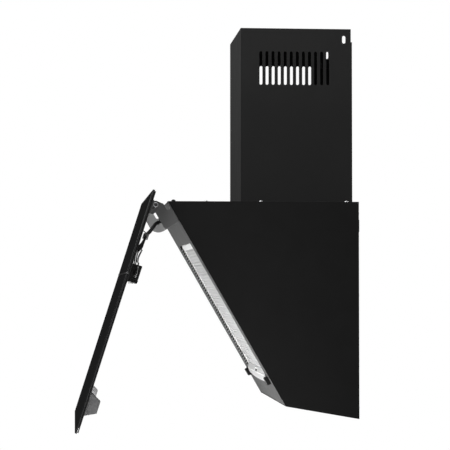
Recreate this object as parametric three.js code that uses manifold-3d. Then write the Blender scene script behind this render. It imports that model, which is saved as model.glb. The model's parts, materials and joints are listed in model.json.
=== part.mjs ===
// Inclined wall-mounted cooker hood with a slotted chimney cover and a hinged glass front panel.
// Millimetres, +Z up, +X to the right as seen from the room. The wall is the plane Y = 0
// and the room is towards -Y. The origin is the centre of the wall strip's rear face.
// The front panel is modelled part-way open, as it stands when the grease filter is being cleaned.

import * as THREE from 'three';
import { mergeVertices } from 'three/addons/utils/BufferGeometryUtils.js';
import Module from 'manifold-3d';

const wasm = await Module();
wasm.setup();

// ---------------------------------------------------------------- driving dimensions

const SHEET = 1.2; // steel sheet of the body and the chimney
const GAP = 0.3; // clearance between neighbouring pieces

const BODY_HALF = 235; // half the body's width
const BODY_REAR = -4; // the body stands this far off the wall
const BODY_TOP = 433.4; // height of the top above the lower rear corner
const TOP_FRONT = -386; // Y of the upper front edge
const FACE_LENGTH = 470; // slope length of the front face
const FACE_TILT = 29.9; // the front face leans back this much from upright, in degrees
const INNER_HALF = BODY_HALF - SHEET - GAP; // half the width between the side panels

const STRIP_HEIGHT = 386; // centre of the wall strip above the lower rear corner
const STRIP_HALF = 215;

const CHIMNEY_HALF = 125;
const CHIMNEY_DEPTH = 231;
const CHIMNEY_TOP = 796;
const OUTLET_Y = -120; // centre of the air outlet
const OUTLET_R = 75;
const COLLAR_TOP = 476;
const DAMPER_Z = 458;

const FILTER_HALF = 175;
const FILTER_TOP = 95; // distances down the front face from its upper edge
const FILTER_BOTTOM = 400;
const FILTER_RECESS = 5; // the filter lies this far behind the front face
const FILTER_THICK = 6.7;
const POCKET_EDGE = 1.5; // clearance around the filter
const CATCH_X = 195;
const CATCH_DOWN = 411;

const HINGE_OUT = 25; // hinge axis: height above the front face
const HINGE_UP = 6; // hinge axis: distance above the face's upper edge, along the slope
const PIN_R = 3;
const OPEN_ANGLE = 47.6; // the panel as modelled, from closed

const PANEL_HALF = 300;
const PANEL_BACK = -8.8; // panel axes: origin on the hinge axis, +Y to the body, +Z up the panel
const PANEL_UP = 23.3;
const PANEL_DOWN = -472;
const GLASS_JOINT = -147; // the seam between the two panes
const GLASS_FRONT = -15.8;
const GLASS_REAR = -11.3;

const BLOWER = { y: -100, z: 300, half: 75, radius: 62, inlet: 54 };

const rad = THREE.MathUtils.degToRad;
const faceTilt = rad(FACE_TILT);
const panelTilt = rad(FACE_TILT - OPEN_ANGLE);
const faceOut = new THREE.Vector2(-Math.cos(faceTilt), -Math.sin(faceTilt)); // (Y, Z)
const faceDown = new THREE.Vector2(Math.sin(faceTilt), -Math.cos(faceTilt));
const facePoint = (out, down) => new THREE.Vector2(TOP_FRONT, BODY_TOP)
  .addScaledVector(faceOut, out).addScaledVector(faceDown, down);
const hinge = facePoint(HINGE_OUT, -HINGE_UP);
const faceFoot = facePoint(0, FACE_LENGTH);

// ---------------------------------------------------------------- materials

const finish = (color, roughness, metalness) => new THREE.MeshStandardMaterial(
  { color, roughness, metalness },
);
const paint = {
  black: finish(0x1c1c1c, 0.45, 0.3),
  chimney: finish(0x272727, 0.42, 0.3),
  liner: finish(0x6a6a6a, 0.5, 0.4),
  bracket: finish(0x4c4c4c, 0.45, 0.7),
  zinc: finish(0x8a8a8a, 0.4, 0.8),
  bright: finish(0xc9c9c9, 0.25, 0.9),
  filter: finish(0xd6d6d6, 0.4, 0.8),
  glass: finish(0x161616, 0.08, 0),
  trim: finish(0xb4b4b4, 0.35, 0.7),
  plastic: finish(0x151515, 0.55, 0),
  grey: finish(0x5a5a5a, 0.5, 0),
  pale: finish(0xd9d9d9, 0.4, 0),
  housing: finish(0x303235, 0.6, 0),
};

// ---------------------------------------------------------------- shapes

const point = ([x, y]) => new THREE.Vector2(x, y);
const outline = (points, holes = []) => {
  const shape = new THREE.Shape(points.map(point));
  shape.holes = holes;
  return shape;
};
const rectangle = (x0, x1, y0, y1) => [[x0, y0], [x1, y0], [x1, y1], [x0, y1]];
const circle = (x, y, r) => new THREE.Path().absarc(x, y, r, 0, 2 * Math.PI, true);
const arc = (x, y, r, from, to, steps) => Array.from({ length: steps + 1 }, (_, i) => {
  const a = rad(from + (to - from) * i / steps);
  return [x + r * Math.cos(a), y + r * Math.sin(a)];
});

// An upright slot with round ends.
function slot(x, y, width, height) {
  const r = width / 2;
  const reach = height / 2 - r;
  return outline([...arc(x, y + reach, r, 0, 180, 5), ...arc(x, y - reach, r, 180, 360, 5)]);
}

const axes = (a, b, c) => new THREE.Matrix4().makeBasis(new THREE.Vector3(...a), new THREE.Vector3(...b),
  new THREE.Vector3(...c));
const SIDE_PLANE = axes([0, 1, 0], [0, 0, 1], [1, 0, 0]);
const FRONT_PLANE = axes([1, 0, 0], [0, 0, 1], [0, -1, 0]);

const extrude = (shape, depth, curveSegments) => new THREE.ExtrudeGeometry(shape,
  { depth, bevelEnabled: false, curveSegments });

// A shape drawn in (Y, Z), from x0 to x1.
const alongX = (shape, x0, x1, segments = 12) => extrude(shape, x1 - x0, segments)
  .applyMatrix4(SIDE_PLANE).translate(x0, 0, 0);
// A shape drawn in (X, Z), from y1 forward to y0.
const alongY = (shape, y0, y1, segments = 12) => extrude(shape, y1 - y0, segments)
  .applyMatrix4(FRONT_PLANE).translate(0, y1, 0);
// A shape drawn in (X, Y), from z0 up to z1.
const alongZ = (shape, z0, z1, segments = 12) => extrude(shape, z1 - z0, segments).translate(0, 0, z0);

const block = (x0, x1, y0, y1, z0, z1) => new THREE.BoxGeometry(x1 - x0, y1 - y0, z1 - z0)
  .translate((x0 + x1) / 2, (y0 + y1) / 2, (z0 + z1) / 2);

// A turned piece: the profile is a closed list of (radius, height), and the axis is Z.
function turned(profile, segments) {
  return new THREE.LatheGeometry(profile.map(point), segments).rotateX(Math.PI / 2);
}
const rod = (r, z0, z1, segments = 16) => turned([[0, z0], [r, z0], [r, z1], [0, z1]], segments);
const ring = (r0, r1, z0, z1, segments = 32) => turned(
  [[r0, z0], [r1, z0], [r1, z1], [r0, z1], [r0, z0]],
  segments,
);
const onX = (geometry, x, y, z) => geometry.rotateY(Math.PI / 2).translate(x, y, z);
const onY = (geometry, x, y, z) => geometry.rotateX(-Math.PI / 2).translate(x, y, z);

// ---------------------------------------------------------------- booleans

function solid(geometry) {
  const bare = geometry.clone();
  bare.deleteAttribute('normal');
  bare.deleteAttribute('uv');
  const merged = mergeVertices(bare, 1e-3);
  return new wasm.Manifold(new wasm.Mesh({
    numProp: 3,
    vertProperties: new Float32Array(merged.attributes.position.array),
    triVerts: new Uint32Array(merged.index.array),
  }));
}

function geometryOf(body) {
  const mesh = body.getMesh();
  const geometry = new THREE.BufferGeometry();
  geometry.setAttribute('position', new THREE.BufferAttribute(mesh.vertProperties, 3));
  geometry.setIndex(new THREE.BufferAttribute(mesh.triVerts, 1));
  geometry.computeVertexNormals();
  return geometry;
}

const join = (first, ...rest) => geometryOf(rest.reduce((sum, g) => sum.add(solid(g)), solid(first)));
const cut = (first, ...tools) => geometryOf(tools.reduce((left, g) => left.subtract(solid(g)), solid(first)));

// ---------------------------------------------------------------- scene graph

const hood = new THREE.Group();
hood.position.z = -STRIP_HEIGHT; // from here on heights count from the body's lower rear corner

// Face axes: origin on the upper front edge, -Y out of the face, -Z down it.
const face = new THREE.Group();
face.position.set(0, TOP_FRONT, BODY_TOP);
face.rotation.x = faceTilt;
const panel = new THREE.Group();
panel.position.set(0, hinge.x, hinge.y);
panel.rotation.x = panelTilt;
hood.add(face, panel);

function add(group, name, geometry, material) {
  const mesh = new THREE.Mesh(geometry, material);
  mesh.name = name;
  group.add(mesh);
  return mesh;
}
const SIDES = [['right', 1], ['left', -1]];
const mirrored = (side, x0, x1) => (side > 0 ? [x0, x1] : [-x1, -x0]);

// ---------------------------------------------------------------- body casing

for (const [label, side] of SIDES) {
  const profile = outline(
    [[BODY_REAR, 0], [BODY_REAR, BODY_TOP], [TOP_FRONT, BODY_TOP], faceFoot.toArray()],
  );
  const [x0, x1] = mirrored(side, BODY_HALF - SHEET, BODY_HALF);
  add(hood, `side_panel_${label}`, alongX(profile, x0, x1), paint.black);
}

const topFront = TOP_FRONT + SHEET * Math.tan(faceTilt) + 0.1;
add(hood, 'top_plate', alongZ(outline(
  rectangle(-INNER_HALF, INNER_HALF, topFront, BODY_REAR),
  [circle(0, OUTLET_Y, OUTLET_R), circle(-95, -30, 8)],
), BODY_TOP - SHEET, BODY_TOP), paint.black);

const bottomSlope = new THREE.Vector2(BODY_REAR, 0).sub(faceFoot).normalize();
const bottomUp = new THREE.Vector2(-bottomSlope.y, bottomSlope.x);
const bottomPoint = (along, up) => faceFoot.clone().addScaledVector(bottomSlope, along)
  .addScaledVector(bottomUp, up);
const BOTTOM_LENGTH = faceFoot.distanceTo(new THREE.Vector2(BODY_REAR, 0));
const LAMP_X = 150;
const LAMP_R = 28;

// Bottom axes: origin on the lower front edge, +Y to the wall, +Z up into the body.
const bottom = new THREE.Group();
bottom.position.set(0, faceFoot.x, faceFoot.y);
bottom.rotation.x = bottomSlope.angle();
hood.add(bottom);
const LAMP_Y = BOTTOM_LENGTH / 2;
add(bottom, 'bottom_panel', alongZ(outline(
  rectangle(-INNER_HALF, INNER_HALF, 0.6, BOTTOM_LENGTH - GAP),
  SIDES.map(([, side]) => circle(side * LAMP_X, LAMP_Y, LAMP_R)),
), 0, SHEET, 16), paint.black);
for (const [label, side] of SIDES) {
  const housing = turned([[0, 12], [0, 14], [LAMP_R + 4, 14], [LAMP_R + 4, SHEET + GAP],
    [LAMP_R - 4, SHEET + GAP], [LAMP_R - 4, 12], [0, 12]].reverse(), 24);
  add(bottom, `lamp_housing_${label}`, housing.translate(side * LAMP_X, LAMP_Y, 0), paint.housing);
  const lens = turned([[0, -1.5], [LAMP_R - 8, -1.5], [LAMP_R - 1, 0.2], [LAMP_R - 4.6, 1.2],
    [LAMP_R - 4.6, 3], [0, 3]], 24);
  add(bottom, `lamp_lens_${label}`, lens.translate(side * LAMP_X, LAMP_Y, 0), paint.pale);
}

const backFoot = bottomPoint(BOTTOM_LENGTH - SHEET / bottomSlope.x, SHEET).y + GAP + 0.1;
add(hood, 'back_plate', cut(
  block(-INNER_HALF, INNER_HALF, BODY_REAR - SHEET, BODY_REAR, backFoot, BODY_TOP - SHEET - GAP),
  ...SIDES.map(([, side]) => onY(rod(3.4, -3, 3, 12), side * 190, BODY_REAR, STRIP_HEIGHT)),
), paint.liner);

// The front frame: a sheet with a pocket whose ledge the filter lies on.
const POCKET_HALF = FILTER_HALF + POCKET_EDGE;
const POCKET_TOP = FILTER_TOP - POCKET_EDGE;
const POCKET_BOTTOM = FILTER_BOTTOM + POCKET_EDGE;
const POCKET_FLOOR = FILTER_RECESS + FILTER_THICK + GAP;
const pocket = (grow) => rectangle(
  -POCKET_HALF - grow,
  POCKET_HALF + grow,
  -POCKET_BOTTOM - grow,
  -POCKET_TOP + grow,
);
const pocketHole = (grow) => new THREE.Path(pocket(grow).reverse().map(point));
const LEDGE = 8;
add(face, 'front_frame', join(
  alongY(outline(rectangle(-INNER_HALF, INNER_HALF, -FACE_LENGTH + 2.5, -2.6), [
    pocketHole(0), circle(-205, -24, 5.2),
  ]), 0, SHEET),
  alongY(outline(pocket(SHEET), [pocketHole(0)]), 0.5, POCKET_FLOOR + SHEET),
  alongY(outline(pocket(SHEET / 2), [pocketHole(-LEDGE)]), POCKET_FLOOR, POCKET_FLOOR + SHEET),
), paint.liner);

// ---------------------------------------------------------------- catches, bumpers and wall fixings

for (const [label, side] of SIDES) {
  const wedge = outline([[-GAP, -8.75], [-8, -7.5], [-8, 7.5], [-GAP, 8.75]].reverse());
  add(face, `catch_${label}`, cut(
    alongX(wedge, -12, 12).translate(side * CATCH_X, 0, -CATCH_DOWN),
    block(-7, 7, -9, -5, -4, 4).translate(side * CATCH_X, 0, -CATCH_DOWN),
  ), paint.plastic);
  const dome = turned([[0, 0], [4.3, 0], [4.1, 1.5], [3, 2.9], [1.5, 3.5], [0, 3.6]], 14);
  add(hood, `top_bumper_${label}`, dome.translate(side * 222, -374.6, BODY_TOP + GAP), paint.plastic);
}

const STRIP_REAR = 0;
add(hood, 'wall_strip', cut(
  block(-STRIP_HALF, STRIP_HALF, BODY_REAR + GAP, STRIP_REAR, STRIP_HEIGHT - 12, STRIP_HEIGHT + 12),
  ...[-190, -120, 120, 190].map((x) => onY(rod(3.4, -6, 6, 12), x, BODY_REAR, STRIP_HEIGHT)),
), paint.zinc);
for (const [label, side] of SIDES) {
  const bolt = turned([[0, 0.6], [3, 0.6], [3, 5 + GAP], [6, 5 + GAP], [5.4, 9], [0, 9]], 12);
  bolt.rotateX(Math.PI / 2).translate(side * 190, 0, STRIP_HEIGHT);
  add(hood, `hanger_bolt_${label}`, bolt, paint.bright);
}

// ---------------------------------------------------------------- chimney cover and its wall bracket

const SLOTS = { count: 12, pitch: 12.62, first: -189.3, width: 6.26, height: 69.5, z: 714 };
const FAR_SLOTS = { ...SLOTS, pitch: 13.5, first: -203.2, width: 6.7 };
function chimneySide(row, x0, x1) {
  const profile = outline([
    [-CHIMNEY_DEPTH + 0.5, BODY_TOP + GAP], [-CHIMNEY_DEPTH + 0.5, CHIMNEY_TOP], [-2.4, CHIMNEY_TOP],
    [-2.4, CHIMNEY_TOP - 27], [0, CHIMNEY_TOP - 27], [0, BODY_TOP + GAP],
  ]);
  const openings = Array.from({ length: row.count },
    (_, i) => slot(row.first + i * row.pitch, row.z, row.width, row.height));
  openings.push(slot(-17, 774, 6.8, 16.2));
  return cut(alongX(profile, x0, x1), ...openings.map((shape) => alongX(shape, x0 - 1, x1 + 1)));
}
add(hood, 'chimney_cover', join(
  chimneySide(SLOTS, CHIMNEY_HALF - SHEET, CHIMNEY_HALF),
  chimneySide(FAR_SLOTS, -CHIMNEY_HALF, -CHIMNEY_HALF + SHEET),
  block(-CHIMNEY_HALF, CHIMNEY_HALF, -CHIMNEY_DEPTH, -CHIMNEY_DEPTH + SHEET, BODY_TOP + GAP, CHIMNEY_TOP),
), paint.chimney);

// The cover slips over a U-shaped wall bracket below its fixing slots.
const BRACKET = { half: CHIMNEY_HALF - SHEET - GAP, low: 745, high: 757, depth: 30 };
add(hood, 'chimney_bracket', cut(
  join(
    block(-BRACKET.half, BRACKET.half, -2.3, -GAP, BRACKET.low, BRACKET.high),
    ...SIDES.map(([, side]) => {
      const [x0, x1] = mirrored(side, BRACKET.half - 2, BRACKET.half);
      return block(x0, x1, -BRACKET.depth, -GAP, BRACKET.low, BRACKET.high);
    }),
  ),
  ...SIDES.map(([, side]) => onY(rod(2.6, -4, 4, 12), side * 60, -1, (BRACKET.low + BRACKET.high) / 2)),
), paint.chimney);

// ---------------------------------------------------------------- air outlet with two damper flaps

const collarInner = OUTLET_R - 1.5;
add(hood, 'outlet_collar', join(
  turned([[collarInner, BODY_TOP + GAP], [90, BODY_TOP + GAP], [90, BODY_TOP + 2],
    [OUTLET_R, BODY_TOP + 2], [OUTLET_R, COLLAR_TOP], [collarInner, COLLAR_TOP],
    [collarInner, BODY_TOP + GAP]], 36).translate(0, OUTLET_Y, 0),
  block(-collarInner - 0.5, collarInner + 0.5, OUTLET_Y - 1.6, OUTLET_Y + 1.6,
    DAMPER_Z - 2, DAMPER_Z + 2),
), paint.housing);
for (const [label, side] of [['front', -1], ['rear', 1]]) {
  const half = outline([...arc(0, 0, collarInner - 2, 4, 176, 18)].map(([x, y]) => [x, Math.max(y, 2.6)]));
  const flap = alongZ(half, DAMPER_Z - 0.7, DAMPER_Z + 0.7);
  flap.rotateZ(side > 0 ? 0 : Math.PI).translate(0, OUTLET_Y, 0);
  add(hood, `damper_flap_${label}`, flap, paint.grey);
}

// ---------------------------------------------------------------- blower

// The scroll's radius grows evenly from the tongue round to the outlet's straight front wall.
const SCROLL = { tongue: 55, sweep: 235, start: 68, end: 96, steps: 24 };
function scrollCurve(wall) {
  return Array.from({ length: SCROLL.steps + 1 }, (_, i) => {
    const share = i / SCROLL.steps;
    const r = SCROLL.start + (SCROLL.end - SCROLL.start) * share + wall;
    const a = rad(SCROLL.tongue - SCROLL.sweep * share);
    return [BLOWER.y + r * Math.cos(a), BLOWER.z + r * Math.sin(a)];
  });
}
const blowerTop = BODY_TOP - SHEET - GAP;
const outletRear = OUTLET_Y + OUTLET_R + 1;
const scrollWall = 2;
const scrollOutside = [[outletRear + scrollWall, blowerTop], ...scrollCurve(scrollWall),
  [BLOWER.y - SCROLL.end - scrollWall, blowerTop]];
const scrollInside = [[outletRear, blowerTop], ...scrollCurve(0), [BLOWER.y - SCROLL.end, blowerTop]];
add(hood, 'blower_scroll', alongX(outline([...scrollOutside, ...scrollInside.reverse()]),
  -BLOWER.half, BLOWER.half), paint.housing);
for (const [label, side] of SIDES) {
  const [x0, x1] = mirrored(side, BLOWER.half + GAP, BLOWER.half + GAP + 1.5);
  const inlet = onX(rod(BLOWER.inlet, x0 - 1, x1 + 1, 32), 0, BLOWER.y, BLOWER.z);
  add(hood, `blower_cheek_${label}`, cut(alongX(outline(scrollOutside), x0, x1), inlet), paint.housing);
}

const BLADES = 24;
const blade = () => block(-60, 60, -0.7, 0.7, 52, BLOWER.radius - 0.5);
const impeller = [ring(50, BLOWER.radius, -61, -58, 24), ring(50, BLOWER.radius, 58, 61, 24),
  turned([[4.6, 4], [12, 4], [12, 10], [56, 10], [56, 13], [12, 13], [12, 22], [4.6, 22],
    [4.6, 4]], 24)]
  .map((g) => onX(g, 0, 0, 0));
for (let i = 0; i < BLADES; i++) {
  impeller.push(blade().rotateX(2 * Math.PI * (i + 0.5) / BLADES));
}
add(hood, 'impeller', join(...impeller), paint.housing).position.set(0, BLOWER.y, BLOWER.z);
add(hood, 'motor_shaft', onX(rod(4, -38, 26, 16), 0, BLOWER.y, BLOWER.z), paint.bright);
const motorRear = -BLOWER.half - GAP - 1.5;
add(hood, 'motor', onX(turned([[0, motorRear], [36, motorRear], [40, motorRear + 5], [40, -8],
  [30, 0], [5, 0], [5, -40], [0, -40]], 28), 0, BLOWER.y, BLOWER.z), paint.zinc);
const spider = [0, 120, 240].map((turn) => block(motorRear - 2.8, motorRear - GAP, -8, 8, 0, 66)
  .rotateX(rad(turn)).translate(0, BLOWER.y, BLOWER.z));
add(hood, 'motor_bracket', join(
  onX(rod(24, motorRear - 2.8, motorRear - GAP, 24), 0, BLOWER.y, BLOWER.z),
  ...spider,
), paint.zinc);

// ---------------------------------------------------------------- electrics inside the body

const backFront = BODY_REAR - SHEET - GAP;
add(hood, 'electronics_box', cut(
  block(100, 200, backFront - 45, backFront, 275, 365),
  block(102, 198, backFront - 46, backFront - 2, 277, 363),
), paint.housing);
const lid = block(100, 200, backFront - 47.5, backFront - 45 - GAP, 275, 365);
add(hood, 'electronics_lid', lid, paint.plastic);
add(hood, 'capacitor', onX(turned([[0, 0], [15, 0], [17, 2], [17, 58], [15, 60], [0, 60]], 20),
  110, backFront - 17.2, 245), paint.pale);
add(hood, 'mains_gland', turned([[4, BODY_TOP - 6], [7.4, BODY_TOP - 6], [7.4, BODY_TOP + GAP],
  [12, BODY_TOP + GAP], [12, BODY_TOP + 6], [9, BODY_TOP + 16], [4, BODY_TOP + 16], [4, BODY_TOP - 6]], 18)
  .translate(-95, -30, 0), paint.plastic);

// ---------------------------------------------------------------- grease filter

const FRAME_SIDE = 12;
const FRAME_FOOT = 8;
const meshHalf = FILTER_HALF - FRAME_SIDE;
const meshTop = FILTER_TOP + 13;
const meshBottom = FILTER_BOTTOM - FRAME_FOOT;
const filterRear = FILTER_RECESS + FILTER_THICK;
add(face, 'filter_frame', alongY(outline(
  rectangle(-FILTER_HALF, FILTER_HALF, -FILTER_BOTTOM, -FILTER_TOP),
  [new THREE.Path(rectangle(-meshHalf, meshHalf, -meshBottom, -meshTop).reverse().map(point))],
), FILTER_RECESS, filterRear), paint.filter);
add(face, 'filter_mesh', block(-meshHalf + GAP, meshHalf - GAP, FILTER_RECESS + 1, filterRear - 1,
  -meshBottom + GAP, -meshTop - GAP), paint.filter);
const LATCH_REAR = FILTER_RECESS - GAP;
add(face, 'filter_latch', join(
  block(-20, 20, LATCH_REAR - 1.6, LATCH_REAR, -FILTER_BOTTOM - 1, -FILTER_BOTTOM + 6.5),
  block(-14, 14, LATCH_REAR - 3, LATCH_REAR - 1, -FILTER_BOTTOM + 3.5, -FILTER_BOTTOM + 6.5),
), paint.zinc);

// ---------------------------------------------------------------- hinges

// Ear outline in (Y, Z) of the face axes: foot, slot beside the casing's edge, and a round end on
// the hinge axis.
const EAR = {
  inner: BODY_HALF - 4, outer: BODY_HALF - 1.5, footWidth: 16,
  out: 33, foot: 46.4, slotFar: 10.5, slotFoot: 16,
};
const FOOT_THICK = 2.5;
const earRound = EAR.out - HINGE_OUT;
const EAR_CORNER = { right: 3, left: 22 }; // the left ear ends in a wide curve
const earOutline = (corner) => [
  [-GAP, -EAR.foot], [-GAP, 0], [-GAP - FOOT_THICK, 0],
  ...arc(-6.65, -EAR.slotFoot + 3.85, 3.85, 0, -180, 6), [-EAR.slotFar, 0],
  ...arc(-HINGE_OUT, HINGE_UP, earRound, 20, 180, 8),
  ...arc(-EAR.out + corner, -EAR.foot + corner, corner, 180, 270, 8),
];
for (const [label, side] of SIDES) {
  const [x0, x1] = mirrored(side, EAR.inner, EAR.outer);
  const [f0, f1] = mirrored(side, EAR.inner - EAR.footWidth, EAR.inner + 1);
  const plate = alongX(outline(earOutline(EAR_CORNER[label]).reverse()), x0, x1);
  const foot = block(f0, f1, -GAP - FOOT_THICK, -GAP, -EAR.foot, -EAR.slotFoot - 6);
  const bore = onX(rod(PIN_R + 0.6, x0 - 1, x1 + 1, 18), 0, -HINGE_OUT, HINGE_UP);
  add(face, `hinge_bracket_${label}`, cut(join(plate, foot), bore), paint.bracket);
}

// Panel arms lie outside the ears: a web round the pin, and a foot on the panel's back.
const ARM = { inner: BODY_HALF + 0.5, outer: BODY_HALF + 3, round: 6.5, down: -21 };
for (const [label, side] of SIDES) {
  const web = [[PANEL_BACK + GAP, ARM.down], [1, ARM.down + 1], [ARM.round, ARM.down + 10],
    ...arc(0, 0, ARM.round, 0, 90, 6), [PANEL_BACK + GAP, ARM.round]];
  const [x0, x1] = mirrored(side, ARM.inner, ARM.outer);
  const [f0, f1] = mirrored(side, ARM.inner, ARM.outer + 24);
  const armFoot = block(f0, f1, PANEL_BACK + GAP, PANEL_BACK + 2.8, ARM.down, ARM.round);
  const armBore = onX(rod(PIN_R + GAP, x0 - 1, x1 + 1, 18), 0, 0, 0);
  add(panel, `panel_arm_${label}`, cut(join(alongX(outline(web), x0, x1), armFoot), armBore), paint.bracket);
  const pin = turned([[0, -9], [4.6, -9], [4.6, -4.8], [PIN_R, -4.8], [PIN_R, 3 + GAP], [5, 3 + GAP],
    [5, 5], [4.2, 5.8], [0, 5.8]], 18);
  const turn = new THREE.Matrix4().makeRotationZ(side > 0 ? 0 : Math.PI);
  add(panel, `hinge_pin_${label}`, onX(pin, BODY_HALF, 0, 0).applyMatrix4(turn), paint.bright);
}

// ---------------------------------------------------------------- glass front panel

const pane = (z0, z1) => block(-PANEL_HALF, PANEL_HALF, GLASS_FRONT, GLASS_REAR, z0, z1);
const SEAM = 1.7;
add(panel, 'glass_upper', pane(GLASS_JOINT + SEAM + GAP, PANEL_UP), paint.glass);
add(panel, 'glass_lower', pane(PANEL_DOWN, GLASS_JOINT - SEAM - GAP), paint.glass);
add(panel, 'panel_trim', block(-PANEL_HALF, PANEL_HALF, GLASS_FRONT - 0.5, GLASS_REAR,
  GLASS_JOINT - SEAM, GLASS_JOINT + SEAM), paint.trim);
const trayHalf = PANEL_HALF - 2;
const trayFront = GLASS_REAR + GAP;
add(panel, 'panel_back_plate', cut(
  block(-trayHalf, trayHalf, trayFront, PANEL_BACK, PANEL_DOWN + 2, PANEL_UP - 2),
  block(-trayHalf + 2, trayHalf - 2, trayFront - 1, PANEL_BACK - 1, PANEL_DOWN + 4, PANEL_UP - 4),
), paint.plastic);

// Hat-shaped catch brackets, open towards the panel.
const HAT = { foot: PANEL_BACK + GAP, top: PANEL_BACK + 25, half: 13, base: 25.5, crown: 12.5, wall: 2 };
for (const [label, side] of SIDES) {
  const centre = -CATCH_DOWN - HINGE_UP;
  const hat = (foot, top, shrink) => outline([[foot, -HAT.base + shrink], [top, -HAT.crown + shrink / 2],
    [top, HAT.crown - shrink / 2], [foot, HAT.base - shrink]]);
  add(panel, `catch_bracket_${label}`, cut(
    alongX(hat(HAT.foot, HAT.top, 0), -HAT.half, HAT.half),
    alongX(hat(HAT.foot - 1, HAT.top - HAT.wall, HAT.wall * 2), -HAT.half + HAT.wall, HAT.half - HAT.wall),
  ).translate(side * CATCH_X, 0, centre), paint.zinc);
}

// ---------------------------------------------------------------- control box and its lead

const BOX = { x0: 2, x1: 90, back: PANEL_BACK + GAP, join: 9, top: 17.2, z0: -159, z1: -121 };
add(panel, 'control_box', cut(
  block(BOX.x0, BOX.x1, BOX.back, BOX.join, BOX.z0, BOX.z1),
  block(BOX.x0 + 2, BOX.x1 - 2, BOX.back + 2, BOX.join + 1, BOX.z0 + 2, BOX.z1 - 2),
), paint.plastic);
const boxCover = block(BOX.x0, BOX.x1, BOX.join + GAP, BOX.top, BOX.z0, BOX.z1);
add(panel, 'control_box_cover', boxCover, paint.plastic);
const boxWindow = block(BOX.x0 + 4, BOX.x1 - 1, BOX.back + 1, BOX.join + 4, BOX.z0 - 3.4, BOX.z0 - GAP);
add(panel, 'control_box_window', boxWindow, paint.pale);

// A lead follows a smooth curve through its points, with a round section of the given number of sides.
function lead(points, r, sides, steps) {
  const stations = points.map((p) => new THREE.Vector3(...p));
  const curve = new THREE.CatmullRomCurve3(stations, false, 'centripetal');
  const section = new THREE.Shape(arc(0, 0, r, 0, 360 - 360 / sides, sides - 1).map(point));
  return new THREE.ExtrudeGeometry(section, { steps, extrudePath: curve, bevelEnabled: false });
}
// To the hood's axes: onFace from X, the height above the face and the distance down it, and
// onPanel from a point in the panel's axes.
const onFace = (x, out, down) => [x, ...facePoint(out, down).toArray()];
const onPanel = (x, y, z) => new THREE.Vector3(x, y, z).applyAxisAngle(new THREE.Vector3(1, 0, 0), panelTilt)
  .add(panel.position).toArray();

const GLAND = { x: -205, down: 24 };
const grommet = turned([[3.9, -6], [4.9, -6], [4.9, GAP], [7, GAP], [7, 2], [5.6, 8], [3.9, 8],
  [3.9, -6]], 14).rotateX(Math.PI / 2);
add(face, 'lead_grommet', grommet.translate(GLAND.x, 0, -GLAND.down), paint.plastic);

const CONNECTOR = { x: -58, y: 9.2, z: -54 };
const cablePoints = [
  onFace(GLAND.x, -5, GLAND.down), onFace(GLAND.x, 4, GLAND.down), onFace(GLAND.x, 12, GLAND.down),
  onPanel(-199, 26.5, -15.5), onPanel(-165, 21.7, -27), onPanel(-125, 17.1, -37.7),
  onPanel(-95, 13.4, -44.6), onPanel(-77, 10.2, -50), onPanel(-66.4, 9.4, -52.1),
];
add(hood, 'lead_cable', lead(cablePoints, 3.2, 10, 44), paint.plastic);

// The connector lies along the lead's direction, and the sleeve and the wires carry on to the control box.
const plugAxis = new THREE.Vector3(16, -0.4, -4.2).normalize();
const connector = join(
  block(-4.6, 4.6, -4.2, 4.2, -8, 1.5),
  block(-5.6, 5.6, -5, 5, -2, 8),
).applyQuaternion(new THREE.Quaternion().setFromUnitVectors(new THREE.Vector3(0, 0, 1), plugAxis));
add(panel, 'lead_connector', connector, paint.grey).position.set(CONNECTOR.x, CONNECTOR.y, CONNECTOR.z);
const pastPlug = (distance) => plugAxis.clone().multiplyScalar(distance)
  .add(new THREE.Vector3(CONNECTOR.x, CONNECTOR.y, CONNECTOR.z)).toArray();
const sleevePoints = [pastPlug(8.6), pastPlug(12), [-40, 7.4, -68], [-30, 4.6, -80], [-16, 1.4, -91],
  [0, 1, -105], [9, 2.6, -114], [11, 3, BOX.z1 + 1]];
add(panel, 'lead_sleeve', lead(sleevePoints, 3.3, 10, 24), paint.plastic);
const wirePoints = [[-19, 9.2, -86], [-8, 7.8, -93], [20, 5.8, -103.6], [50, 6.2, -114], [86, 7.5, -116.5],
  [96, 8.5, -121], [101, 10, -131], [102.5, 10.8, -140], [99, 9.5, -145.5], [94.5, 6, -145.6],
  [BOX.x1 + 0.6, 5.5, -145.6]];
add(panel, 'lead_wires', lead(wirePoints, 1.9, 8, 40), paint.pale);

const model = new THREE.Group();
model.add(hood);
export default model;
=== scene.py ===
"""Looks of an inclined wall-mounted cooker hood whose glass front panel is swung open.

Metres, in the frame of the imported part: +Z up, +Y into the wall, -Y to the room, +X to the right
as seen from the room. The origin is the centre of the wall strip's rear face.
"""

import json
import math

import bmesh
import bpy
from mathutils import Matrix, Vector


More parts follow.
